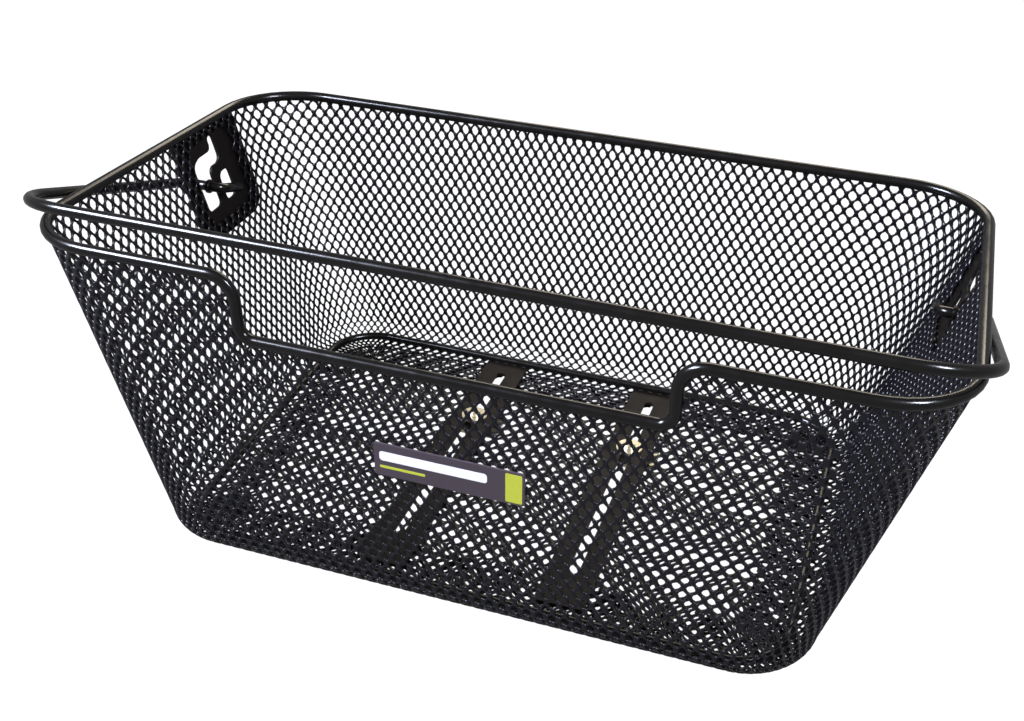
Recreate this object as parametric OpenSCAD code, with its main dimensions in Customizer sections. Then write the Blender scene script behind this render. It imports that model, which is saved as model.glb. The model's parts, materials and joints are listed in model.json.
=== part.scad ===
/* [Rim] */
// Length of the rim between rod centres
rim_l = 459; // [400:1:520]
// Depth of the rim between rod centres
rim_w = 258; // [220:1:300]
// Height of the back rim rod's centre
rim_h = 172; // [140:1:200]
// How much higher the front rim stands than the back rim
rim_rise = 12; // [4:1:16]
// Diameter of the rim rod and of the handle rod
rod_d = 6; // [5:0.5:7]
// Corner radius of the rim at the front
rim_r_front = 42; // [34:1:55]
// Corner radius of the rim at the back
rim_r_back = 46; // [34:1:55]

/* [Front dip] */
// Depth of the dip in the front rim
dip_depth = 34; // [28:1:45]
// Half the width of the dip, to the upright part of the rod
dip_half = 107; // [80:1:130]
// Bend radius where the rim turns down into the dip
dip_r_top = 13; // [10:1:15]
// Bend radius at the bottom of the dip
dip_r_low = 8; // [6:1:10]

/* [Mesh] */
// Length of the floor, where the end walls meet it
floor_l = 358; // [320:1:380]
// Depth of the floor, where the front and back walls meet it
floor_w = 248; // [210:1:250]
// How far the floor stands back from the middle of the rim
floor_back = 4; // [0:1:6]
// Corner radius of the floor
floor_r = 40; // [34:1:50]
// Bend radius between walls and floor
bend_r = 12; // [9:1:14]
// Thickness of the expanded metal
mesh_t = 1.6; // [1.2:0.1:2]
// Width of the turned-in flange at the back and the ends
flange_w = 34; // [28:1:38]
// Width of the turned-in flange at the front
flange_w_front = 42; // [30:1:48]

/* [Side plates] */
// Width of a side plate at the rim
plate_w = 70; // [64:1:76]
// Middle of a side plate, back from the middle of the rim
plate_y = 54; // [50:1:56]
// Height of the lower edge of a side plate
plate_z = 110; // [106:1:114]
// Thickness of a side plate
plate_t = 2; // [1.5:0.1:2.2]

/* [Handle] */
// Distance between the handle's arms, centre to centre
handle_l = 472; // [471:1:476]
// Length of an arm from its pivot to the bar
arm_len = 174.6; // [170:0.1:180]
// Bend radius at the handle's corners
handle_r = 38; // [30:1:45]
// Tilt of the folded handle above level
fold_tilt = 20.1; // [19:0.1:24]
// Place of the pivot back from the middle of the rim
pivot_y = 38; // [37:0.5:39]
// Height of the pivot
pivot_z = 142; // [141:0.5:143]
// Half the distance between the hooked ends
hook_x = 211.5; // [207:0.5:211.5]
// Length of a hooked end, back from its leg
hook_len = 22; // [20:1:22]

/* [Floor hardware] */
// Distance between the two floor strips, centre to centre
strip_pitch = 102; // [90:1:120]
// Width of a floor strip
strip_w = 28; // [24:1:30]
// Thickness of a floor strip
strip_t = 2; // [1.5:0.1:3]
// Length of the slot in a floor strip
slot_len = 178; // [150:1:180]
// Width of the slot in a floor strip
slot_w = 6; // [5.5:0.1:6.5]
// Place of the clamp screws along the strips
screw_y = 50; // [0:1:70]

/* [Badge] */
// Length of the badge
badge_l = 78; // [60:1:90]
// Height of the badge
badge_h = 20; // [16:1:24]
// Height of the badge's middle
badge_z = 96; // [80:1:110]

/* [Hidden] */
$fn = 64;

black_paint = "#16161a";
zinc = "#c9c6b8";
badge_plum = "#453c48";

tiny = 0.01;
hull_fn = 40;

// Frame of the rim: its plane is tilted about the back rod
rim_tilt = atan(rim_rise / rim_w);
rim_plane_w = rim_w / cos(rim_tilt);
rod_r = rod_d / 2;

// A rod's straight runs, a hair thicker than its bends
run_d = rod_d + 0.02;

// Front wall, as a line in the YZ plane
front_floor_y = floor_back - floor_w / 2;
front_rim_z = rim_h + rim_rise;
front_lean = atan((rim_w / 2 + front_floor_y) / front_rim_z);

// End walls, as a line in the XZ plane
end_lean = atan((rim_l - floor_l) / 2 / rim_h);
end_slope = (rim_l - floor_l) / 2 / rim_h;

// Base rod, nested in the bend between walls and floor
base_d = 5;
base_inset = 9.2;
base_z = 6.5;

// Floor levels: the floor panel at the bottom, the walls' flange on it, the strips on top
flange_z = mesh_t;
flange_top = 2 * mesh_t;
strip_top = flange_top + strip_t;
floor_mesh_inset = bend_r;
strip_front = front_floor_y + 20;
strip_back = floor_back + floor_w / 2 - bend_r;
slot_mid_y = strip_back - 12 - slot_len / 2;

// Clamp hardware, M5
screw_d = 5;
screw_head_d = 10;
screw_head_h = 3.2;
socket_af = 3;
socket_depth = 1.8;
washer_d = 16;
washer_t = 1.2;
clamp_t = 2.5;
clamp_l = 34;
clamp_w = 20;
clamp_lip = 3;
nut_af = 8;
nut_h = 4;
screw_tail = 1.5;

// Handle ends
end_bend_r = 6.5;
collar_d = 8.5;
collar_w = 2.5;
collar_x = 218.5;

badge_t = 1.2;
badge_r = 1.5;

// Gap between the mesh and the flat pieces on its outside
skin_gap = 0.05;

plate_corner_r = 14;

// Openings of a side plate and of the mesh in front of it, as limits in Y and in height
keyhole_low_y = [32.5, 47];
keyhole_top_y = [35, 60.5];
keyhole_z = [127, 150, 158];
lock_slot_y = [54.5, 60.5];
lock_slot_top = 166.5;
rear_hole_y = [54, 65];
rear_hole_z = [127, 144];
window_y = [29, 76];
window_z = [119, 167];

// ---- helpers ----

// Bent rod: a quarter turn in the XY plane, centred on the origin, from +X to +Y
module rod_bend(bend, d = rod_d) {
    rotate_extrude(angle = 90) translate([bend, 0]) circle(d = d);
}

// Straight rod along +X, starting at the origin
module rod_x(length, d = rod_d) {
    rotate([0, 90, 0]) cylinder(d = d, h = length);
}

// Straight rod along +Y, starting at the origin
module rod_y(length, d = rod_d) {
    rotate([-90, 0, 0]) cylinder(d = d, h = length);
}

module both_ends() {
    children();
    mirror([1, 0, 0]) children();
}

// Thin rounded slab, used as one level of the mesh body
module level(length, depth, back, r_front, r_back, inset) {
    for (side = [-1, 1]) {
        translate([side * (length / 2 - r_front), back - depth / 2 + r_front, 0])
            cylinder(r = r_front - inset, h = tiny, $fn = hull_fn);
        translate([side * (length / 2 - r_back), back + depth / 2 - r_back, 0])
            cylinder(r = r_back - inset, h = tiny, $fn = hull_fn);
    }
}

// Solid tapered body of the basket, grown by half a sheet or shrunk by it
module body_block(grow, over) {
    bend_z = flange_z + bend_r;
    low_l = floor_l + 2 * end_slope * bend_z;
    low_w = floor_w + bend_z * tan(front_lean);
    hull() {
        for (a = [0, 30, 60, 90])
            translate([0, 0, bend_z - (bend_r + grow - mesh_t / 2) * cos(a)])
                level(low_l, low_w, floor_back, floor_r, floor_r, (bend_r + grow) * (1 - sin(a)) - grow);
        rim_plane(over) level(rim_l, rim_plane_w, 0, rim_r_front, rim_r_back, -grow);
    }
}

// Moves from the rim's own plane to its place in the basket
module rim_plane(up = 0) {
    translate([0, rim_w / 2, rim_h])
        rotate([-rim_tilt, 0, 0])
            translate([0, -rim_plane_w / 2, up])
                children();
}

// Outline in the plane of the front wall that removes the dip, X and height
module dip_outline(gap) {
    half = dip_half + gap;
    low = -dip_depth - gap;
    low_r = dip_r_low + gap;
    top_r = dip_r_top - gap;
    difference() {
        union() {
            translate([-half, low + low_r]) square([2 * half, 80]);
            translate([-half + low_r, low]) square([2 * (half - low_r), 80]);
            for (side = [-1, 1])
                translate([side * (half - low_r), low + low_r]) circle(r = low_r);
            translate([-half - top_r, -gap - top_r]) square([2 * (half + top_r), 80]);
        }
        for (side = [-1, 1])
            translate([side * (half + top_r), -gap - top_r]) circle(r = top_r);
    }
}

// Moves from the front wall's own plane, X and up the wall, to its place
module front_plane() {
    translate([0, -rim_w / 2, front_rim_z])
        rotate([90 + front_lean, 0, 0])
            children();
}

// Moves from an end wall's own plane, drawn as Y and length up the wall, to its place at +X
module end_plane(out) {
    translate([floor_l / 2, 0, 0])
        rotate([0, end_lean, 0])
            translate([out, 0, 0])
                rotate([90, 0, 90])
                    children();
}

// Length up a leaning end wall that reaches a height
function up(z) = z / cos(end_lean);

// Height of the rim rod's centre along an end wall
function rim_z(y) = rim_h + rim_rise * (rim_w / 2 - y) / rim_w;

// Rounded rectangle from two Y limits and two heights on an end wall
module wall_rect(ys, zs, r) {
    y0 = ys[0] + r;
    y1 = ys[1] - r;
    z0 = up(zs[0]) + r;
    z1 = up(zs[1]) - r;
    translate([y0 - r, z0]) square([y1 - y0 + 2 * r, z1 - z0]);
    translate([y0, z0 - r]) square([y1 - y0, z1 - z0 + 2 * r]);
    for (y = [y0, y1])
        for (z = [z0, z1])
            translate([y, z]) circle(r = r);
}

// Stadium slot along Y, centred, for a floor strip and the mesh below it
module strip_slot(width, length) {
    translate([-width / 2, -length / 2 + width / 2]) square([width, length - width]);
    for (end = [-1, 1])
        translate([0, end * (length / 2 - width / 2)]) circle(d = width);
}

// Clearance through the mesh below the slots of both strips
module floor_slots(length) {
    for (side = [-1, 1])
        translate([side * strip_pitch / 2, slot_mid_y, -1])
            linear_extrude(flange_top + 2) strip_slot(slot_w + 4, length);
}

// ---- parts ----

// Rod that carries the top edge of the mesh, with the dip at the front
module rim_wire() {
    half_l = rim_l / 2;
    half_w = rim_plane_w / 2;
    color(black_paint) {
        rim_plane() {
            translate([-half_l + rim_r_back, half_w, 0]) rod_x(2 * (half_l - rim_r_back), run_d);
            both_ends() {
                translate([half_l - rim_r_back, half_w - rim_r_back, 0]) rod_bend(rim_r_back);
                translate([half_l, -half_w + rim_r_front, 0])
                    rod_y(2 * half_w - rim_r_front - rim_r_back, run_d);
                translate([half_l - rim_r_front, -half_w + rim_r_front, 0])
                    rotate([0, 0, -90]) rod_bend(rim_r_front);
            }
        }
        front_plane() {
            translate([-dip_half + dip_r_low, -dip_depth, 0]) rod_x(2 * (dip_half - dip_r_low), run_d);
            both_ends() {
                translate([dip_half + dip_r_top, 0, 0])
                    rod_x(half_l - rim_r_front - dip_half - dip_r_top, run_d);
                translate([dip_half + dip_r_top, -dip_r_top, 0]) rotate([0, 0, 90]) rod_bend(dip_r_top);
                translate([dip_half, -dip_depth + dip_r_low, 0])
                    rod_y(dip_depth - dip_r_low - dip_r_top, run_d);
                translate([dip_half - dip_r_low, -dip_depth + dip_r_low, 0])
                    rotate([0, 0, -90]) rod_bend(dip_r_low);
            }
        }
    }
}

// Rod around the floor, inside the bend of the mesh
module base_wire() {
    half_l = floor_l / 2 - base_inset;
    half_w = floor_w / 2 - base_inset;
    r = floor_r - base_inset;
    color(black_paint)
        translate([0, floor_back, base_z]) both_ends() {
            for (side = [-1, 1])
                translate([0, side * half_w, 0]) rod_x(half_l - r, base_d);
            translate([half_l, -half_w + r, 0]) rod_y(2 * (half_w - r), base_d);
            translate([half_l - r, half_w - r, 0]) rod_bend(r, base_d);
            translate([half_l - r, -half_w + r, 0]) rotate([0, 0, -90]) rod_bend(r, base_d);
        }
}

// Expanded metal wall, one strip bent round the basket and turned in under the floor
module wall_mesh() {
    color(black_paint)
        difference() {
            body_block(mesh_t / 2, 0);
            body_block(-mesh_t / 2, 5 * tiny);
            rim_plane(-rod_r) translate([-rim_l, -rim_w, 0]) cube([2 * rim_l, 3 * rim_w, 2 * rod_d]);
            translate([-floor_l / 2 + flange_w, front_floor_y + flange_w_front, 0])
                cube([floor_l - 2 * flange_w, floor_w - flange_w - flange_w_front, flange_top + 1]);
            floor_slots(slot_len + 4);
            front_plane() translate([0, 0, -8]) linear_extrude(30) dip_outline(rod_r);
            both_ends()
                end_plane(-5) linear_extrude(10) wall_rect(window_y, window_z, 6);
        }
}

// Expanded metal floor panel, under the flange and open below the strips' slots
module floor_mesh() {
    half_l = floor_l / 2 - floor_mesh_inset;
    half_w = floor_w / 2 - floor_mesh_inset;
    r = floor_r - floor_mesh_inset;
    color(black_paint)
        difference() {
            linear_extrude(mesh_t)
                translate([0, floor_back]) {
                    square([2 * half_l, 2 * (half_w - r)], center = true);
                    square([2 * (half_l - r), 2 * half_w], center = true);
                    for (sx = [-1, 1])
                        for (sy = [-1, 1])
                            translate([sx * (half_l - r), sy * (half_w - r)]) circle(r = r);
                }
            floor_slots(slot_len + 4);
        }
}

// Steel plate outside the end wall at +X, with the keyhole that takes the handle
module side_plate() {
    color(black_paint)
        end_plane(mesh_t / 2 + skin_gap)
            linear_extrude(plate_t)
                difference() {
                    plate_outline();
                    plate_openings();
                }
}

// Outline of a side plate: square to the rim at the top, round at the lower corners
module plate_outline() {
    y0 = plate_y - plate_w / 2;
    y1 = plate_y + plate_w / 2;
    low = up(plate_z);
    shoulder = low + plate_corner_r;
    polygon([[y0, shoulder], [y1, shoulder], [y1, up(rim_z(y1) - rod_r)], [y0, up(rim_z(y0) - rod_r)]]);
    translate([y0 + plate_corner_r, low]) square([plate_w - 2 * plate_corner_r, plate_corner_r]);
    for (y = [y0 + plate_corner_r, y1 - plate_corner_r])
        translate([y, shoulder]) circle(r = plate_corner_r);
}

// Keyhole and rear hole of a side plate, with the tongue left between them
module plate_openings() {
    round_r = 2.5;
    wall_rect(keyhole_low_y, [keyhole_z[0], keyhole_z[2]], round_r);
    wall_rect(keyhole_top_y, [keyhole_z[1], keyhole_z[2]], round_r);
    wall_rect(lock_slot_y, [keyhole_z[1], lock_slot_top], round_r);
    wall_rect(rear_hole_y, rear_hole_z, round_r);
}

// Steel strip inside the floor, slotted for the clamp screw
module floor_strip(side) {
    color(black_paint)
        translate([side * strip_pitch / 2, 0, flange_top])
            linear_extrude(strip_t)
                difference() {
                    translate([-strip_w / 2, strip_front]) square([strip_w, strip_back - strip_front]);
                    translate([0, slot_mid_y]) strip_slot(slot_w, slot_len);
                }
}

// Bail handle: one rod in one plane, with a leg and a hooked end at each side
module handle() {
    half = handle_l / 2;
    leg = half - hook_x - 2 * end_bend_r;
    color(black_paint)
        translate([0, pivot_y, pivot_z])
            rotate([-fold_tilt, 0, 0]) {
                translate([-half + handle_r, -arm_len, 0]) rod_x(handle_l - 2 * handle_r, run_d);
                both_ends() {
                    translate([hook_x, end_bend_r, 0]) rod_y(hook_len - end_bend_r, run_d);
                    translate([hook_x + end_bend_r, end_bend_r, 0]) rotate([0, 0, 180]) rod_bend(end_bend_r);
                    translate([hook_x + end_bend_r, 0, 0]) rod_x(leg, run_d);
                    translate([collar_x, 0, 0]) rod_x(collar_w, collar_d);
                    translate([half - end_bend_r, -end_bend_r, 0]) rod_bend(end_bend_r);
                    translate([half, -arm_len + handle_r, 0])
                        rod_y(arm_len - handle_r - end_bend_r, run_d);
                    translate([half - handle_r, -arm_len + handle_r, 0])
                        rotate([0, 0, -90]) rod_bend(handle_r);
                }
            }
}

// Places its children at both clamp screws
module at_screws() {
    for (side = [-1, 1])
        translate([side * strip_pitch / 2, screw_y, 0]) children();
}

// Button-head screws with a hexagon socket
module clamp_screws() {
    head_z = strip_top + washer_t;
    tail = clamp_t + nut_h + screw_tail;
    dome_r = screw_head_d / 2;
    color(zinc)
        at_screws()
            difference() {
                union() {
                    translate([0, 0, -tail]) cylinder(d = screw_d, h = head_z + tail);
                    translate([0, 0, head_z]) cylinder(r = dome_r, h = screw_head_h / 2);
                    translate([0, 0, head_z + screw_head_h / 2])
                        cylinder(r = dome_r - 1.2, h = screw_head_h / 2);
                }
                translate([0, 0, head_z + screw_head_h - socket_depth])
                    cylinder(d = socket_af / cos(30), h = socket_depth + 1, $fn = 6);
            }
}

// Washers between the screw heads and the strips
module clamp_washers() {
    color(zinc)
        at_screws()
            translate([0, 0, strip_top])
                difference() {
                    cylinder(d = washer_d, h = washer_t);
                    translate([0, 0, -1]) cylinder(d = screw_d + 0.3, h = washer_t + 2);
                }
}

// Clamp plate under a strip, with a lip that hooks the carrier's tube
module clamp_plate(side) {
    color(zinc)
        translate([side * strip_pitch / 2, screw_y, -clamp_t])
            difference() {
                union() {
                    translate([-clamp_l / 2, -clamp_w / 2, 0]) cube([clamp_l, clamp_w, clamp_t]);
                    translate([side * (clamp_l / 2 - clamp_t / 2) - clamp_t / 2, -clamp_w / 2, -clamp_lip])
                        cube([clamp_t, clamp_w, clamp_lip + tiny]);
                }
                translate([0, 0, -1]) cylinder(d = screw_d + 0.4, h = clamp_t + 2);
            }
}

// Hexagon nuts below the clamp plates
module clamp_nuts() {
    color(zinc)
        at_screws()
            translate([0, 0, -clamp_t - nut_h])
                difference() {
                    cylinder(d = nut_af / cos(30), h = nut_h, $fn = 6);
                    translate([0, 0, -1]) cylinder(d = screw_d + 0.05, h = nut_h + 2);
                }
}

// Plain badge on the front wall
module badge() {
    half_l = badge_l / 2 - badge_r;
    half_h = badge_h / 2 - badge_r;
    below_rim = (front_rim_z - badge_z) / cos(front_lean);
    color(badge_plum)
        front_plane()
            translate([0, -below_rim, mesh_t / 2 + skin_gap])
                linear_extrude(badge_t) {
                    square([2 * half_l, badge_h], center = true);
                    square([badge_l, 2 * half_h], center = true);
                    for (sx = [-1, 1])
                        for (sy = [-1, 1])
                            translate([sx * half_l, sy * half_h]) circle(r = badge_r);
                }
}

rim_wire();
base_wire();
wall_mesh();
floor_mesh();
mirror([1, 0, 0]) side_plate();  // side_plate_left
side_plate();  // side_plate_right
floor_strip(-1);  // floor_strip_left
floor_strip(1);  // floor_strip_right
handle();
clamp_screws();
clamp_washers();
clamp_plate(-1);  // clamp_plate_left
clamp_plate(1);  // clamp_plate_right
clamp_nuts();
badge();
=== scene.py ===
"""Bicycle carrier basket: expanded-metal walls and floor, wire rim, folding wire handle."""
import json
from math import atan, cos, pi, radians, sin, tan

import bmesh
import bpy
import numpy as np
from bmesh.types import BMEdge, BMFace, BMVert
from mathutils import Matrix, Vector


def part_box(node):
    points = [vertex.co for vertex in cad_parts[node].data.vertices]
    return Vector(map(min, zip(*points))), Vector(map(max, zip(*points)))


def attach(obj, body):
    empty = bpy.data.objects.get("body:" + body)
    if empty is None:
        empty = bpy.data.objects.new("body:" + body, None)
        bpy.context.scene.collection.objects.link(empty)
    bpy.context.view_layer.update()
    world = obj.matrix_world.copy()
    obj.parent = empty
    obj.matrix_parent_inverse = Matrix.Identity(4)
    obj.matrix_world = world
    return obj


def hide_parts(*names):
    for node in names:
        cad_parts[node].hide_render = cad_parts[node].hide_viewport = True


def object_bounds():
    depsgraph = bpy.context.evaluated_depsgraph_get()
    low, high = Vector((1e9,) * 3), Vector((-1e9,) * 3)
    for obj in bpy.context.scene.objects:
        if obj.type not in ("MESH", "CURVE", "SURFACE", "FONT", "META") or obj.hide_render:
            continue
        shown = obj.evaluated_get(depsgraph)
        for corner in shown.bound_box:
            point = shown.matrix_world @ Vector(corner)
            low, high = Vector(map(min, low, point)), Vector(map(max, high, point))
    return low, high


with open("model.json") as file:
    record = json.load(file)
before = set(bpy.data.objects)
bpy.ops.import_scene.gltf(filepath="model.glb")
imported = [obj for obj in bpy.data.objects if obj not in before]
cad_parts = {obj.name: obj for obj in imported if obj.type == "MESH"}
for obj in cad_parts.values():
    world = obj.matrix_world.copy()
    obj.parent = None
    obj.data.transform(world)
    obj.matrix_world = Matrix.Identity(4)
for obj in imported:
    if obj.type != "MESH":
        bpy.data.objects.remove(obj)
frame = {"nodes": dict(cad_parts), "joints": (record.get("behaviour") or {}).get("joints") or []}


def plain_box():
    """The model's lowest and highest corners as plain numbers."""
    return [[float(c) for c in corner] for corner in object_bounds()]


cad_box = plain_box()
MM = 0.001

# ---------------------------------------------------------------- sizes, in millimetres
# How far a rod stays inside its node's box, and the gap between the mesh and what lies on it
CLEAR = 0.01
SKIN_GAP = 0.05

# Rim: a 6 mm rod in a plane that rises from the back to the front
ROD = 3.0
RIM_HALF = (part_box("rim_wire")[1] / MM).x - ROD - CLEAR
RIM_DEPTH = 258.0
RIM_BACK_Y = RIM_DEPTH / 2
RIM_BACK_Z = 172.0
RIM_RISE = 12.0
RIM_TILT = atan(RIM_RISE / RIM_DEPTH)
RIM_PLANE = RIM_DEPTH / cos(RIM_TILT)
RIM_R_FRONT = 42.0
RIM_R_BACK = 46.0
DIP_HALF = 107.0
DIP_DEPTH = 34.0
DIP_R_TOP = 13.0
DIP_R_LOW = 8.0

# Walls: one strip of expanded metal, bent under the basket as a flange, with a rod in the bend
BEND_R = 12.0
BEND_Z = 13.6
BEND_RISE = 11.2
BASE_ROD_R = 30.8
FLOOR_BACK = 4.0
FLOOR_HALF = 179.0
FLOOR_DEPTH = 248.0
FLOOR_R = 40.0
END_SLOPE = (RIM_HALF - FLOOR_HALF) / RIM_BACK_Z
FRONT_FOOT_Y = FLOOR_BACK - FLOOR_DEPTH / 2
FRONT_RIM_Z = RIM_BACK_Z + RIM_RISE
FRONT_LEAN = atan((RIM_BACK_Y + FRONT_FOOT_Y) / FRONT_RIM_Z)
LOW_HALF = FLOOR_HALF + END_SLOPE * BEND_Z
LOW_DEPTH = FLOOR_DEPTH + BEND_Z * tan(FRONT_LEAN)
FLANGE_Z = 2.4
FLANGE = 34.0
FLANGE_FRONT = 42.0
FLANGE_R = 6.0
SHEET = 1.6

# Openings cut in the mesh: behind the side plates and under the strips' slots
WINDOW_Y = (29.0, 76.0)
WINDOW_Z = (119.0, 167.0)
WINDOW_R = 6.0
SLOT_X = 51.0
SLOT_Y = 15.0
SLOT_CUT = (10.0, 182.0)
SLOT_R = 4.99
OUTLINE_STEP = 0.5

# Where on the wall the points that those openings and the dip may cut are
DIP_ZONE_X = DIP_HALF + 40.0
DIP_ZONE_Y = -105.0
DIP_ZONE_Z = 100.0
END_ZONE_X = 200.0
END_ZONE_Y = (20.0, 85.0)
FLANGE_ZONE_Z = 5.0

# Lattice: columns round the basket, and rows counted in whole cells from the flange up
COLUMNS = 190
ROWS_FLANGE = 3.25
ROWS_BEND = 2.75
ROWS = 22.0
WALL_PIECES = 5
FLOOR_CELL = (8.6, 11.0)
FLOOR_TRIM = 0.8

# Each (place round the ring, value). The place is 0 at the middle of the front, 1 to 2 and 4 to 5 in the corners
# and 6 at the middle of the back. The values are the cell's width at the foot of the wall and at the rim, and the
# rows that the rim cuts off.
FOOT_WIDTHS = ((0, 6.6), (0.85, 6.6), (1.15, 4.65), (1.85, 4.65), (2.15, 6.65),
               (3.85, 6.65), (4.15, 4.65), (4.85, 4.65), (5.15, 6.2), (6, 6.2))
RIM_WIDTHS = ((0, 6.6), (0.5, 6.9), (1, 7.9), (2, 7.9), (3, 7.2),
              (4, 7.9), (5, 7.9), (5.4, 6.6), (5.7, 6.2), (6, 6.2))
ROWS_CUT = ((0, 0.25), (1, 0.15), (1.5, 0), (2, 0.25), (3, 0.4),
            (4, 0.25), (4.5, 0), (5, 0.5), (5.5, 1.3), (6, 1.6))
MOST_ROWS_CUT = 1.6

# Handle: one 6 mm rod that lies over the front rim
FOLD_TILT = radians(20.1)
ARM = 174.6
GRIP_BEND_R = 38.0
HOOK_BEND_R = 6.5
HOOK_X = 211.5
HOOK_LENGTH = 22.0
COLLAR_X = 219.75
COLLAR_R = 4.25
COLLAR_WIDTH = 2.5

# Side plates: corners as (y, z, radius)
PLATE_Y = (19.0, 89.0)
PLATE_FOOT_Z = 110.0
PLATE_R_FOOT = 14.0
PLATE_R_TOP = 0.5
PLATE_THICK = 2.0
KEYHOLE = ((32.5, 127.0, 3.5), (32.5, 156.0, 6.0), (40.0, 158.5, 8.0), (54.5, 158.5, 4.0), (54.5, 166.5, 2.9),
           (60.5, 166.5, 2.9), (60.5, 150.0, 5.0), (47.0, 150.0, 5.0), (47.0, 127.0, 3.5))
REAR_HOLE = ((54.0, 127.0, 3.0), (54.0, 144.0, 4.5), (65.0, 144.0, 3.0), (65.0, 127.0, 4.5))

# Badge: a label and the ink on it
LABEL_SIZE = (78.0, 20.0)
LABEL_R = 1.5
LABEL_THICK = 0.95
INK_THICK = 0.15
INK_SUNK = 0.05


# ---------------------------------------------------------------- materials
def linear(hex_colour):
    """sRGB hex to linear RGBA."""
    parts = [int(hex_colour[i:i + 2], 16) / 255 for i in (1, 3, 5)]
    return [c / 12.92 if c <= 0.04045 else ((c + 0.055) / 1.055) ** 2.4 for c in parts] + [1.0]


def add_node(tree, kind, settings=None, links=None):
    """Adds a node, sets its attributes or input values, and links other nodes' outputs to its inputs."""
    node = tree.nodes.new(kind)
    for name, value in (settings or {}).items():
        if isinstance(name, str) and hasattr(node, name):
            setattr(node, name, value)
        else:
            node.inputs[name].default_value = value
    for name, (source, output) in (links or {}).items():
        tree.links.new(source.outputs[output], node.inputs[name])
    return node


def empty_material(name):
    """A node material with no nodes yet, and its tree."""
    material = bpy.data.materials.new(name)
    material.use_nodes = True
    material.node_tree.nodes.clear()
    return material, material.node_tree


def coating(name, settings, colour, gloss, relief):
    """A finish whose colour, roughness and relief each follow a noise.

    settings go on the shader's own sockets. colour is (dark, light, noise), gloss is (lowest noise, highest noise,
    smoothest, roughest, noise) and relief is (strength, depth in mm, noise). A noise is (size of its features in mm,
    detail, roughness).
    """
    material, tree = empty_material(name)
    where = add_node(tree, "ShaderNodeTexCoord")
    clouds, grain, bumps = (
        add_node(tree, "ShaderNodeTexNoise", {"Scale": 1000 / size_mm, "Detail": detail, "Roughness": rough},
                 {"Vector": (where, "Object")})
        for size_mm, detail, rough in (colour[-1], gloss[-1], relief[-1]))
    tone = add_node(tree, "ShaderNodeMix", {"data_type": "RGBA", 6: linear(colour[0]), 7: linear(colour[1])},
                    {0: (clouds, "Fac")})
    sheen = add_node(tree, "ShaderNodeMapRange",
                     dict(zip(("From Min", "From Max", "To Min", "To Max"), gloss)), {"Value": (grain, "Fac")})
    bump = add_node(tree, "ShaderNodeBump", {"Strength": relief[0], "Distance": relief[1] * MM},
                    {"Height": (bumps, "Fac")})
    shader = add_node(tree, "ShaderNodeBsdfPrincipled", settings,
                      {"Base Color": (tone, 2), "Roughness": (sheen, 0), "Normal": (bump, 0)})
    add_node(tree, "ShaderNodeOutputMaterial", {}, {"Surface": (shader, "BSDF")})
    return material


def powder_coat(name, dark, light, rough, shine, peel_mm, peel_depth):
    """Black polyester powder coat, baked on steel: satin, slightly cloudy, with orange peel."""
    return coating(name, {"IOR": 1.5, "Specular IOR Level": shine},
                   (dark, light, (22.0, 4.0, 0.5)),
                   (0.3, 0.7, rough - 0.04, rough + 0.05, (9.0, 3.0, 0.5)),
                   (0.3, peel_depth, (peel_mm, 2.0, 0.4)))


def printed_vinyl(name, dark, light, rough):
    """Screen-printed polyester label: flat ink with a faint grain under a satin film."""
    ink_grain = (0.9, 4.0, 0.7)
    return coating(name, {"IOR": 1.48},
                   (dark, light, ink_grain),
                   (0.0, 1.0, rough - 0.08, rough + 0.08, (6.0, 3.0, 0.5)),
                   (0.2, 0.02, ink_grain))


# Rod coat: the smoothest, with a soft orange peel about 3 mm across
rod_coat = powder_coat("black powder coat on rod", "#060505", "#0c0a09", 0.2, 0.4, 3.0, 0.012)
# Mesh coat: a little bluer and rougher, with a finer and deeper peel where the powder builds up at the crossings
mesh_coat = powder_coat("black powder coat on expanded metal", "#050407", "#0a0910", 0.26, 0.4, 1.5, 0.02)
# Plate coat: browner and duller on the wide flat steel
plate_coat = powder_coat("black powder coat on sheet steel", "#080605", "#0f0b09", 0.42, 0.14, 2.0, 0.015)
# Zinc: bright plating with a faint yellow passivate, so a soft metal sheen that clouds over a few millimetres
zinc_cloud = (2.5, 5.0, 0.65)
zinc = coating("zinc plated steel", {"Metallic": 1.0}, ("#b7ac8e", "#ebe6d6", zinc_cloud),
               (0.0, 1.0, 0.24, 0.46, zinc_cloud), (0.3, 0.02, (0.6, 3.0, 0.5)))
# Label inks: matt and opaque, each nearly even in colour
plum_ink = printed_vinyl("plum ink on polyester label", "#2b242a", "#383038", 0.4)
lime_ink = printed_vinyl("lime ink on polyester label", "#84881f", "#969b2c", 0.45)
pale_ink = printed_vinyl("pale grey ink on polyester label", "#aca9b0", "#c2c0c5", 0.45)


# ---------------------------------------------------------------- shapes
def put(name, mesh, material, body, slot_name, *replaced):
    """Makes a finished mesh in millimetres a piece of the basket."""
    piece = bpy.data.objects.new(name, mesh)
    bpy.context.scene.collection.objects.link(piece)
    mesh.transform(Matrix.Scale(MM, 4))
    mesh.materials.clear()
    mesh.materials.append(material)
    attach(piece, body)
    if replaced:
        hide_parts(*replaced)
    return piece


def only(geometry, kind):
    """The vertices, edges or faces among what an operator made."""
    return [g for g in geometry if isinstance(g, kind)]


def soften(bm, edges, width, segments):
    """Rounds edges over a little."""
    bmesh.ops.bevel(bm, geom=edges, offset=width, segments=segments, profile=0.5, affect="EDGES", material=-1)


def new_mesh(bm, name):
    """Turns a finished bmesh into a mesh."""
    mesh = bpy.data.meshes.new(name)
    bm.to_mesh(mesh)
    bm.free()
    return mesh


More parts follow.
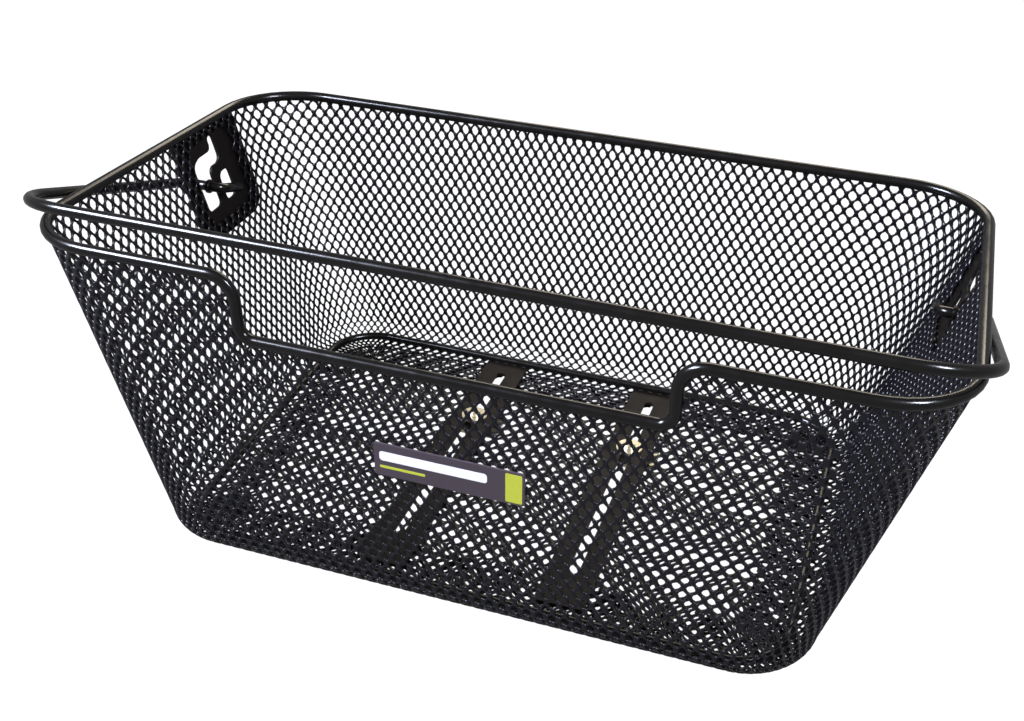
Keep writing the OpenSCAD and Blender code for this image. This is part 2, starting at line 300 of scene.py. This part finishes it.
def rounded(corners, closed, steps=10):
    """Points along a polyline whose corners, each (point, radius), are rounded."""
    points = []
    count = len(corners)
    for i, (corner, radius) in enumerate(corners):
        if not closed and i in (0, count - 1):
            points.append(corner)
            continue
        before = (corners[i - 1][0] - corner).normalized()
        after = (corners[(i + 1) % count][0] - corner).normalized()
        opening = before.angle(after)
        reach = radius / tan(opening / 2)
        centre = corner + (before + after).normalized() * (radius / sin(opening / 2))
        start = corner + before * reach - centre
        end = corner + after * reach - centre
        turn = start.angle(end)
        for k in range(steps + 1):
            t = k / steps
            points.append(centre + (start * sin((1 - t) * turn) + end * sin(t * turn)) / sin(turn))
    return points


def evaluated_mesh(holder):
    """The mesh that an object's curve or modifiers make. The object is used up."""
    bpy.context.scene.collection.objects.link(holder)
    bpy.context.view_layer.update()
    mesh = bpy.data.meshes.new_from_object(holder.evaluated_get(bpy.context.evaluated_depsgraph_get()))
    bpy.data.objects.remove(holder)
    return mesh


def rod_mesh(points, radius, closed):
    """Round rod along the points."""
    curve = bpy.data.curves.new("rod", "CURVE")
    curve.dimensions = "3D"
    curve.bevel_depth = radius
    curve.bevel_resolution = 8
    curve.use_fill_caps = not closed
    spline = curve.splines.new("POLY")
    spline.points.add(len(points) - 1)
    for spot, point in zip(spline.points, points):
        spot.co = (*point, 1.0)
    spline.use_cyclic_u = closed
    mesh = evaluated_mesh(bpy.data.objects.new("rod", curve))
    bm = bmesh.new()
    bm.from_mesh(mesh)
    bmesh.ops.remove_doubles(bm, verts=bm.verts, dist=0.001)
    bmesh.ops.recalc_face_normals(bm, faces=bm.faces)
    for face in bm.faces:
        face.smooth = len(face.verts) == 4
    bm.to_mesh(mesh)
    bm.free()
    return mesh


def on_rim(x, across):
    """Point in the rim's plane, across measured from the back rod forwards as a negative number."""
    return Vector((x, RIM_BACK_Y + across * cos(RIM_TILT), RIM_BACK_Z - across * sin(RIM_TILT)))


def on_front(x, down, out=0.0):
    """Point on the front wall, down from the rim and out from the middle of the sheet."""
    return Vector((x, -RIM_BACK_Y + down * sin(FRONT_LEAN) - out * cos(FRONT_LEAN),
                   FRONT_RIM_Z - down * cos(FRONT_LEAN) - out * sin(FRONT_LEAN)))


def rim_rod():
    """The rim: a rounded rectangle with a dip at the front."""
    corners = [(on_rim(-RIM_HALF, 0), RIM_R_BACK), (on_rim(RIM_HALF, 0), RIM_R_BACK),
               (on_rim(RIM_HALF, -RIM_PLANE), RIM_R_FRONT),
               (on_front(DIP_HALF, 0), DIP_R_TOP), (on_front(DIP_HALF, DIP_DEPTH), DIP_R_LOW),
               (on_front(-DIP_HALF, DIP_DEPTH), DIP_R_LOW), (on_front(-DIP_HALF, 0), DIP_R_TOP),
               (on_rim(-RIM_HALF, -RIM_PLANE), RIM_R_FRONT)]
    put("rim_rod", rod_mesh(rounded(corners, True), ROD, True), rod_coat, "basket", "rod_coat", "rim_wire")


def base_rod():
    """The rod in the bend between walls and floor."""
    low, high = (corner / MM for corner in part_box("base_wire"))
    radius = (high.z - low.z) / 2
    x = high.x - radius
    front, back = low.y + radius, high.y - radius
    corners = [(Vector((sx * x, y, low.z + radius)), BASE_ROD_R)
               for sx, y in ((-1, back), (1, back), (1, front), (-1, front))]
    put("base_rod", rod_mesh(rounded(corners, True), radius - CLEAR, True), rod_coat, "basket", "rod_coat",
        "base_wire")


def handle_rod():
    """The folding handle: bar, arms, legs and hooked ends, all one rod, with a collar on each leg."""
    pivot = Vector(frame["joints"][0]["pos_m"]) / MM
    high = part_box("handle")[1] / MM
    half = high.x - ROD - CLEAR

    def place(x, y):
        return pivot + Vector((x, y * cos(FOLD_TILT), -y * sin(FOLD_TILT)))

    right = [(place(HOOK_X, HOOK_LENGTH), 0), (place(HOOK_X, 0), HOOK_BEND_R),
             (place(half, 0), HOOK_BEND_R), (place(half, -ARM), GRIP_BEND_R)]
    left = [(Vector((-p.x, p.y, p.z)), r) for p, r in reversed(right)]
    mesh = rod_mesh(rounded(right + left, False), ROD, False)
    bm = bmesh.new()
    bm.from_mesh(mesh)
    for side in (-1, 1):
        collar = bmesh.ops.create_cone(bm, cap_ends=True, segments=24, radius1=COLLAR_R, radius2=COLLAR_R,
                                       depth=COLLAR_WIDTH)["verts"]
        rims = [e for e in {e for v in collar for e in v.link_edges}
                if abs(e.verts[0].co.z - e.verts[1].co.z) < CLEAR]
        bmesh.ops.rotate(bm, verts=collar, matrix=Matrix.Rotation(pi / 2, 3, "Y"))
        bmesh.ops.translate(bm, verts=collar, vec=(side * COLLAR_X, pivot.y, pivot.z))
        soften(bm, rims, 0.6, 3)
    bm.to_mesh(mesh)
    bm.free()
    put("handle_rod", mesh, rod_coat, "bail", "rod_coat", "handle")


# ---------------------------------------------------------------- expanded metal
def eight_points(straight, slant_u, slant_v):
    """Points round a hole: one at each end of its two axes and one between each pair."""
    around = ((1, 0), (1, 1), (0, 1), (-1, 1), (-1, 0), (-1, -1), (0, -1), (1, -1))
    return [(u * slant_u, v * slant_v) if u and v else (u * straight, v * straight) for u, v in around]


def lattice_tile(hole_w, hole_h, depth, lip, twist):
    """Two staggered holes and the strands round them, one cell wide and one high, drawn about z = 0.

    hole_w and hole_h are parts of a cell, and depth and lip are half the strand's thickness at its middle and near
    the hole, in mm. Each hole starts as a ring of eight points on its strands' middle lines, is drawn in to the
    strands' lip, and then down to the hole's wall. The front is made first and then the back. Strands lean by twist.
    """
    bm = bmesh.new()
    middle = eight_points(0.5, 0.25, 0.25)
    edge = eight_points(1.0, 0.66, 0.62)
    for cu, cv in ((0.0, 0.0), (0.5, 0.5)):
        for face_side in (1, -1):
            loop = list(bmesh.ops.create_circle(bm, segments=len(middle), radius=1.0)["verts"])
            for vert, (u, v) in zip(loop, middle):
                vert.co = (cu + u, cv + v, face_side * depth)
            faces = []
            for grow, height in ((1.05, lip), (1.0, 0.0)):
                edges = [bm.edges.get(pair) for pair in zip(loop, loop[1:] + loop[:1])]
                drawn = bmesh.ops.extrude_edge_only(bm, edges=edges)["geom"]
                loop = [min(only(drawn, BMVert), key=lambda new: (new.co - old.co).length) for old in loop]
                for vert, (u, v) in zip(loop, edge):
                    vert.co = (cu + grow * u * hole_w / 2, cv + grow * v * hole_h / 2,
                               face_side * height + u * twist)
                faces += only(drawn, BMFace)
            bmesh.ops.recalc_face_normals(bm, faces=faces)
            bm.normal_update()
            if sum(f.normal.z * f.calc_area() for f in faces) * face_side < 0:
                bmesh.ops.reverse_faces(bm, faces=faces)
    bmesh.ops.remove_doubles(bm, verts=bm.verts, dist=1e-5)
    return new_mesh(bm, "tile")


def repeated(tile, across, up):
    """The tile repeated and welded, as a mesh, and its points."""
    holder = bpy.data.objects.new("lattice", tile)
    for count, step in ((across, (1, 0, 0)), (up, (0, 1, 0))):
        array = holder.modifiers.new("array", "ARRAY")
        array.count = count
        array.use_relative_offset = False
        array.use_constant_offset = True
        array.constant_offset_displace = step
        array.use_merge_vertices = True
        array.merge_threshold = 1e-4
    mesh = evaluated_mesh(holder)
    co = np.zeros(len(mesh.vertices) * 3, np.float32)
    mesh.vertices.foreach_get("co", co)
    return mesh, co.reshape(-1, 3).astype(float)


def ring(m, half, front, back, r_front, r_back):
    """Points on a rounded rectangle. m runs from 0 at the middle of the front, by +X, the back and -X, to 12."""
    side = np.where(m > 6, -1.0, 1.0)
    m = np.where(m > 6, 12 - m, m)
    bend_a = np.clip(m - 1, 0, 1) * pi / 2
    bend_b = np.clip(m - 4, 0, 1) * pi / 2
    run = np.clip((m - 2) / 2, 0, 1)
    x = np.where(m < 2, np.clip(m, 0, 1) * (half - r_front) + r_front * np.sin(bend_a),
                 np.where(m < 4, half, half - r_back + r_back * np.cos(bend_b)))
    x = np.where(m > 5, (6 - m) * (half - r_back), x)
    y = np.where(m < 2, front + r_front * (1 - np.cos(bend_a)),
                 front + r_front + run * (back - r_back - front - r_front) + r_back * np.sin(bend_b))
    return side * x, y


def top_ring(m):
    """The rim rod's middle line, without its dip."""
    x, across = ring(m, RIM_HALF, -RIM_PLANE, 0.0, RIM_R_FRONT, RIM_R_BACK)
    return np.stack([x, RIM_BACK_Y + across * cos(RIM_TILT), RIM_BACK_Z - across * sin(RIM_TILT)], 1)


def low_ring(m, inset, z):
    """The foot of the walls, drawn in by inset at height z."""
    x, y = ring(m, LOW_HALF - inset, FLOOR_BACK - LOW_DEPTH / 2 + inset, FLOOR_BACK + LOW_DEPTH / 2 - inset,
                FLOOR_R - inset, FLOOR_R - inset)
    return np.stack([x, y, z + 0 * x], 1)


def read_off(table, m):
    """A table's value at each place m round the ring."""
    return np.interp(np.where(m > 6, 12 - m, m), *zip(*table))


def column_places(points, widths):
    """Where each column stands on a ring, from the cell width at each of its points."""
    step = np.linalg.norm(np.diff(points, axis=0), axis=1)
    count = np.concatenate([[0], np.cumsum(step / ((widths[1:] + widths[:-1]) / 2))])
    return count * COLUMNS / count[-1]


# Place round the ring of every eighth of a column, at 33 heights between the foot of the wall and the rim
LEVELS = 32
PARTS = 8
ring_m = np.linspace(0, 12, 4801)
low_count = column_places(low_ring(ring_m, 0.0, BEND_Z), read_off(FOOT_WIDTHS, ring_m))
top_count = column_places(top_ring(ring_m), read_off(RIM_WIDTHS, ring_m))
column_grid = np.linspace(0, COLUMNS, COLUMNS * PARTS + 1)
column_table = np.array([np.interp(column_grid, low_count * (1 - k / LEVELS) + top_count * k / LEVELS, ring_m)
                         for k in range(LEVELS + 1)])


def column_m(u, rise):
    """Place round the ring of column u at a height, 0 at the foot of the wall and 1 at the rim."""
    level = np.clip(rise * LEVELS, 0, LEVELS - 1e-6)
    below = level.astype(int)
    at = np.mod(u, COLUMNS) * PARTS
    left = np.minimum(at.astype(int), COLUMNS * PARTS - 1)
    part = at - left
    part_up = level - below
    lower = column_table[below, left] * (1 - part) + column_table[below, left + 1] * part
    upper = column_table[below + 1, left] * (1 - part) + column_table[below + 1, left + 1] * part
    return lower * (1 - part_up) + upper * part_up


def wall_place(u, v):
    """Middle of the wall's sheet at column u and row v, and whether that is past the sheet's edges."""
    m_low = column_m(u, 0 * u)
    rows_cut = read_off(ROWS_CUT, column_m(u, 0 * u + 1))
    bend_row = ROWS_FLANGE + ROWS_BEND
    rise = np.clip((v - bend_row) / (ROWS - rows_cut - bend_row), 0, 1)
    past = (v < 0) | (v > ROWS - rows_cut)
    m = column_m(u, rise)
    wall = low_ring(m, 0.0, BEND_Z) * (1 - rise)[:, None] + top_ring(m) * rise[:, None]
    angle = np.clip((v - ROWS_FLANGE) / ROWS_BEND, 0, 1) * pi / 2
    bend = low_ring(m_low, BEND_R * (1 - np.sin(angle)), BEND_Z - BEND_RISE * np.cos(angle))
    inward = np.clip(1 - v / ROWS_FLANGE, 0, 1)
    x, y = ring(m_low, FLOOR_HALF - FLANGE, FRONT_FOOT_Y + FLANGE_FRONT,
                FLOOR_BACK + FLOOR_DEPTH / 2 - FLANGE, FLANGE_R, FLANGE_R)
    opening = np.stack([x, y, FLANGE_Z + 0 * x], 1)
    flange = low_ring(m_low, BEND_R, FLANGE_Z) * (1 - inward)[:, None] + opening * inward[:, None]
    place = np.where((v > bend_row)[:, None], wall, np.where((v > ROWS_FLANGE)[:, None], bend, flange))
    return place, past


def flat_outline(corners):
    """Closed outline from rounded corners, each (x, y, radius), with a point at least every two steps."""
    points = rounded([(Vector((x, y, 0)), r) for x, y, r in corners], True, 8)
    line = []
    for a, b in zip(points, points[1:] + points[:1]):
        parts = max(1, int((b - a).length / OUTLINE_STEP))
        line += [a.lerp(b, k / parts) for k in range(parts)]
    return np.array([(p.x, p.y) for p in line])


def box_outline(xs, ys, r):
    """Outline of a rectangle with rounded corners."""
    return flat_outline([(xs[0], ys[0], r), (xs[1], ys[0], r), (xs[1], ys[1], r), (xs[0], ys[1], r)])


def trimmed(flat, outline, keep_inside=False):
    """Flat points moved to the outline where they are in the part cut away, and which ones those are."""
    inside = np.zeros(len(flat), bool)
    near = np.nonzero((flat > outline.min(0)).all(1) & (flat < outline.max(0)).all(1))[0]
    x, y = flat[near, 0], flat[near, 1]
    odd = np.zeros(len(near), bool)
    after = np.roll(outline, -1, axis=0)
    for (ax, ay), (bx, by) in zip(outline, after):
        if ay != by:
            odd ^= ((ay > y) != (by > y)) & (x < (bx - ax) * (y - ay) / (by - ay) + ax)
    inside[near] = odd
    cut = ~inside if keep_inside else inside
    moved = flat.copy()
    for i in np.nonzero(cut)[0]:
        moved[i] = outline[np.argmin(((outline - flat[i]) ** 2).sum(1))]
    return moved, cut


# The dip's outline runs on past the dip, so that the wall's top edge beside it is left alone
BESIDE = 60.0
dip_outline = flat_outline([(-DIP_HALF - BESIDE, BESIDE, 1), (-DIP_HALF - BESIDE, 0, 1), (-DIP_HALF, 0, DIP_R_TOP),
                            (-DIP_HALF, -DIP_DEPTH, DIP_R_LOW), (DIP_HALF, -DIP_DEPTH, DIP_R_LOW),
                            (DIP_HALF, 0, DIP_R_TOP), (DIP_HALF + BESIDE, 0, 1), (DIP_HALF + BESIDE, BESIDE, 1)])
window_outline = box_outline(WINDOW_Y, WINDOW_Z, WINDOW_R)
slot_outlines = [box_outline((side * SLOT_X - SLOT_CUT[0] / 2, side * SLOT_X + SLOT_CUT[0] / 2),
                             (SLOT_Y - SLOT_CUT[1] / 2, SLOT_Y + SLOT_CUT[1] / 2), SLOT_R) for side in (-1, 1)]


def finish_lattice(name, mesh, places, gone, material, *replaced):
    """Moves the lattice's points to their places, drops what was cut away and welds the rest."""
    mesh.vertices.foreach_set("co", places.astype(np.float32).ravel())
    bm = bmesh.new()
    bm.from_mesh(mesh)
    bm.verts.ensure_lookup_table()
    dead = [f for f in bm.faces if all(gone[v.index] for v in f.verts)]
    bmesh.ops.delete(bm, geom=dead, context="FACES")
    bmesh.ops.remove_doubles(bm, verts=bm.verts, dist=0.01)
    bmesh.ops.dissolve_degenerate(bm, dist=0.01, edges=bm.edges)
    for face in bm.faces:
        face.smooth = True
    bm.to_mesh(mesh)
    bm.free()
    put(name, mesh, material, "basket", "mesh_coat", *replaced)


def wall_lattice(name, first, last, tile):
    """The wall's lattice from one column to another."""
    mesh, points = repeated(tile, last - first, int(ROWS) + 1)
    u, v, w = points.T
    u = u + first
    place, gone = wall_place(u, v)
    # A point on the edge itself is looked at from just inside the sheet
    inside_v = np.clip(v, 0.02, ROWS - MOST_ROWS_CUT - 0.1)
    step = 0.01
    by_u = wall_place(u + step, inside_v)[0] - wall_place(u - step, inside_v)[0]
    by_v = wall_place(u, inside_v + step)[0] - wall_place(u, inside_v - step)[0]
    out = np.cross(by_u, by_v)
    out /= np.linalg.norm(out, axis=1)[:, None]
    x, y, z = place.T
    # Front dip, in the front wall's own plane
    front = np.nonzero((y < DIP_ZONE_Y) & (np.abs(x) < DIP_ZONE_X) & (z > DIP_ZONE_Z))[0]
    if len(front):
        flat, cut = trimmed(np.stack([x[front], (z[front] - FRONT_RIM_Z) / cos(FRONT_LEAN)], 1), dip_outline)
        gone[front] |= cut
        at = front[cut]
        place[at, 0] = flat[cut, 0]
        place[at, 1] = -RIM_BACK_Y - flat[cut, 1] * sin(FRONT_LEAN)
        place[at, 2] = FRONT_RIM_Z + flat[cut, 1] * cos(FRONT_LEAN)
    # Window behind each side plate
    end = np.nonzero((np.abs(x) > END_ZONE_X) & (y > END_ZONE_Y[0]) & (y < END_ZONE_Y[1]))[0]
    if len(end):
        flat, cut = trimmed(place[end][:, 1:], window_outline)
        gone[end] |= cut
        at = end[cut]
        place[at, 1:] = flat[cut]
        place[at, 0] = np.sign(place[at, 0]) * (FLOOR_HALF + END_SLOPE * flat[cut, 1])
    for outline in slot_outlines:
        low = np.nonzero(z < FLANGE_ZONE_Z)[0]
        flat, cut = trimmed(place[low][:, :2], outline)
        gone[low] |= cut
        place[low, :2] = flat
    finish_lattice(name, mesh, place + out * w[:, None], gone, mesh_coat, "wall_mesh")


def floor_lattice(tile):
    """The floor panel's lattice: wider cells than the walls'."""
    low, high = (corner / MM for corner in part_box("floor_mesh"))
    across = int((high.x - low.x) / FLOOR_CELL[0]) + 2
    deep = int((high.y - low.y) / FLOOR_CELL[1]) + 2
    mesh, place = repeated(tile, across, deep)
    # Holes start half a cell before the first corner, so the lattice's middle is a quarter of a cell back
    place[:, 0] = (low.x + high.x) / 2 + (place[:, 0] - across / 2 + 0.25) * FLOOR_CELL[0]
    place[:, 1] = (low.y + high.y) / 2 + (place[:, 1] - deep / 2 + 0.25) * FLOOR_CELL[1]
    place[:, 2] += (low.z + high.z) / 2
    edge = box_outline((low.x + FLOOR_TRIM, high.x - FLOOR_TRIM), (low.y + FLOOR_TRIM, high.y - FLOOR_TRIM),
                       FLOOR_R - BEND_R)
    place[:, :2], gone = trimmed(place[:, :2], edge, keep_inside=True)
    for outline in slot_outlines:
        place[:, :2], cut = trimmed(place[:, :2], outline)
        gone |= cut
    finish_lattice("floor_lattice", mesh, place, gone, mesh_coat, "floor_mesh")


# ---------------------------------------------------------------- side plates
def side_plate(name, side, node):
    """Pressed steel plate on an end wall: a stepped keyhole and a rear hole, with a tongue left between them."""
    lean = atan(END_SLOPE)

    def top_z(y):
        return RIM_BACK_Z + RIM_RISE * (RIM_BACK_Y - y) / RIM_DEPTH - ROD

    front, back = PLATE_Y
    outline = ((front, top_z(front), PLATE_R_TOP), (front, PLATE_FOOT_Z, PLATE_R_FOOT),
               (back, PLATE_FOOT_Z, PLATE_R_FOOT), (back, top_z(back), PLATE_R_TOP))
    bm = bmesh.new()
    for loop in (outline, KEYHOLE, REAR_HOLE):
        line = rounded([(Vector((0.0, y, z / cos(lean))), r) for y, z, r in loop], True, 6)
        verts = [bm.verts.new(p) for p in line]
        for pair in zip(verts, verts[1:] + verts[:1]):
            bm.edges.new(pair)
    bmesh.ops.triangle_fill(bm, use_beauty=True, edges=bm.edges, normal=(1, 0, 0))
    raised = bmesh.ops.extrude_face_region(bm, geom=list(bm.faces))["geom"]
    bmesh.ops.translate(bm, verts=only(raised, BMVert), vec=(PLATE_THICK, 0, 0))
    bmesh.ops.recalc_face_normals(bm, faces=bm.faces)
    bmesh.ops.dissolve_limit(bm, angle_limit=0.01, verts=bm.verts, edges=bm.edges)
    soften(bm, [e for e in bm.edges if len(e.link_faces) == 2 and e.calc_face_angle() > 1.2], 0.35, 2)
    bmesh.ops.translate(bm, verts=bm.verts, vec=(SHEET / 2 + SKIN_GAP, 0, 0))
    bmesh.ops.rotate(bm, verts=bm.verts, matrix=Matrix.Rotation(lean, 3, "Y"))
    bmesh.ops.translate(bm, verts=bm.verts, vec=(FLOOR_HALF, 0, 0))
    if side < 0:
        bmesh.ops.scale(bm, verts=bm.verts, vec=(-1, 1, 1))
    bmesh.ops.recalc_face_normals(bm, faces=bm.faces)
    put(name, new_mesh(bm, name), plate_coat, "basket", "plate_coat", node)


# ---------------------------------------------------------------- badge
def slab(name, x, down, size, out, thick, radius, material, *replaced):
    """Flat label block on the front wall, with rounded corners and a softened edge."""
    outline = rounded([(Vector((x + sx * size[0] / 2, down + sy * size[1] / 2, 0)), radius)
                       for sx, sy in ((-1, -1), (1, -1), (1, 1), (-1, 1))], True, 6)
    bm = bmesh.new()
    face = bm.faces.new([bm.verts.new(on_front(p.x, p.y, out)) for p in outline])
    raised = only(bmesh.ops.extrude_face_region(bm, geom=[face])["geom"], BMVert)
    bmesh.ops.translate(bm, verts=raised, vec=on_front(0, 0, thick) - on_front(0, 0, 0))
    bmesh.ops.recalc_face_normals(bm, faces=bm.faces)
    soften(bm, [e for e in bm.edges if e.verts[0] in raised and e.verts[1] in raised], min(0.25, thick * 0.4), 2)
    put(name, new_mesh(bm, name), material, "basket", "badge_print", *replaced)


def badge():
    """Plain label in the middle of the front wall, with an end block, a bar and a thin line printed on it."""
    low, high = (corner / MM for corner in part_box("badge"))
    down = (FRONT_RIM_Z - (low.z + high.z) / 2) / cos(FRONT_LEAN)
    out = SHEET / 2 + SKIN_GAP
    slab("badge_plate", 0, down, LABEL_SIZE, out, LABEL_THICK, LABEL_R, plum_ink, "badge")
    for name, x, lower, size, radius, ink in (("badge_end", 33.5, 0.0, (8.5, 17.5), 0.8, lime_ink),
                                              ("badge_bar", -8.0, -2.4, (56.0, 5.6), 1.6, pale_ink),
                                              ("badge_line", -24.0, 4.2, (24.0, 1.6), 0.7, lime_ink)):
        slab(name, x, down + lower, size, out + LABEL_THICK - INK_SUNK, INK_THICK, radius, ink)


# ---------------------------------------------------------------- assembly
rim_rod()
base_rod()
handle_rod()
wall_tile = lattice_tile(hole_w=0.69, hole_h=0.61, depth=0.78, lip=0.62, twist=0.2)
for number in range(WALL_PIECES):
    wall_lattice(f"wall_lattice_{number + 1}", number * COLUMNS // WALL_PIECES,
                 (number + 1) * COLUMNS // WALL_PIECES, wall_tile)
floor_lattice(lattice_tile(hole_w=0.68, hole_h=0.57, depth=0.6, lip=0.45, twist=0.15))
side_plate("end_plate_left", -1, "side_plate_left")
side_plate("end_plate_right", 1, "side_plate_right")
badge()

for node, material in (("floor_strip_left", plate_coat), ("floor_strip_right", plate_coat),
                       ("clamp_screws", zinc), ("clamp_washers", zinc), ("clamp_plate_left", zinc),
                       ("clamp_plate_right", zinc), ("clamp_nuts", zinc)):
    frame["nodes"][node].material_slots[0].material = material


# ---------------------------------------------------------------- stage, light and camera, in metres
STAGE_RADIUS = 4.0
STAGE_BELOW = 0.0005
# How much wider and higher each ring of the stage's edge is than the one before it
STAGE_EDGE = ((1.15, 0.3), (1.08, 1.2), (1.0, 5.0))
GLOW_SEEN = 1.05
GLOW_MIRRORED = 0.22

# Each lamp: name, place, size, power in watts and colour
LAMPS = (("key", (-0.85, -0.62, 1.0), (0.55, 0.35), 62, "#e2eaff"),
         ("back", (-0.1, 1.3, 0.95), (0.9, 0.4), 8, "#fff3dd"),
         ("right", (0.85, -0.45, 1.0), (0.22, 0.3), 20, "#e8efff"))
LAMP_AIM = (0, 0, 0.1)

CAMERA_PLACE = (0.1851, -0.5970, 0.4751)
CAMERA_TURN, CAMERA_LIFT, CAMERA_ROLL = radians(18.12), radians(31.86), radians(1.34)
CAMERA_LENS = 45.76


def stage_floor():
    """Seamless backlit table that the basket stands on, turned up far behind it all round."""
    bm = bmesh.new()
    bmesh.ops.create_circle(bm, cap_ends=True, segments=48, radius=STAGE_RADIUS)
    rim = list(bm.edges)
    for grow, lift in STAGE_EDGE:
        drawn = bmesh.ops.extrude_edge_only(bm, edges=rim)["geom"]
        raised = only(drawn, BMVert)
        bmesh.ops.scale(bm, verts=raised, vec=(grow, grow, 1.0))
        bmesh.ops.translate(bm, verts=raised, vec=(0, 0, lift))
        rim = [e for e in only(drawn, BMEdge) if all(v in raised for v in e.verts)]
    bmesh.ops.translate(bm, verts=bm.verts, vec=(0, 0, cad_box[0][2] - STAGE_BELOW))
    mesh = new_mesh(bm, "sweep")
    piece = bpy.data.objects.new("sweep", mesh)
    bpy.context.scene.collection.objects.link(piece)
    material, tree = empty_material("backlit white acrylic")
    # The black coat mirrors the table only dimly, as it does beside lamps that are brighter than the table
    ray = add_node(tree, "ShaderNodeLightPath")
    glow = add_node(tree, "ShaderNodeMapRange", {"To Min": GLOW_SEEN, "To Max": GLOW_MIRRORED},
                    {"Value": (ray, "Is Glossy Ray")})
    shader = add_node(tree, "ShaderNodeBsdfPrincipled",
                      {"Base Color": linear("#2c2c2e"), "Roughness": 0.9, "Specular IOR Level": 0.0,
                       "Emission Color": linear("#ffffff")}, {"Emission Strength": (glow, 0)})
    add_node(tree, "ShaderNodeOutputMaterial", {}, {"Surface": (shader, "BSDF")})
    mesh.materials.append(material)


def studio():
    """A dim white room and three soft lamps."""
    world = bpy.data.worlds.new("studio")
    world.use_nodes = True
    sky = world.node_tree.nodes["Background"]
    sky.inputs["Color"].default_value = linear("#eef1f6")
    sky.inputs["Strength"].default_value = 0.2
    bpy.context.scene.world = world
    for name, place, size, power, colour in LAMPS:
        light = bpy.data.lights.new(name, "AREA")
        light.shape = "RECTANGLE"
        light.size, light.size_y = size
        light.energy = power
        light.color = linear(colour)[:3]
        lamp = bpy.data.objects.new(name, light)
        bpy.context.scene.collection.objects.link(lamp)
        lamp.location = place
        lamp.rotation_euler = (Vector(LAMP_AIM) - Vector(place)).to_track_quat("-Z", "Y").to_euler()


def camera():
    """Looks at the basket from the front right, above it."""
    data = bpy.data.cameras.new("camera")
    data.sensor_width = 36.0
    data.lens = CAMERA_LENS
    data.clip_start = 0.01
    shown = bpy.data.objects.new("camera", data)
    bpy.context.scene.collection.objects.link(shown)
    back = Vector((sin(CAMERA_TURN) * cos(CAMERA_LIFT), -cos(CAMERA_TURN) * cos(CAMERA_LIFT), sin(CAMERA_LIFT)))
    right = (-back).cross(Vector((0, 0, 1))).normalized()
    up = right.cross(-back)
    x = right * cos(CAMERA_ROLL) + up * sin(CAMERA_ROLL)
    y = up * cos(CAMERA_ROLL) - right * sin(CAMERA_ROLL)
    shown.matrix_world = Matrix.Translation(CAMERA_PLACE) @ Matrix((x, y, back)).transposed().to_4x4()
    bpy.context.scene.camera = shown


stage_floor()
studio()
camera()
bpy.context.scene.view_settings.view_transform = "Standard"
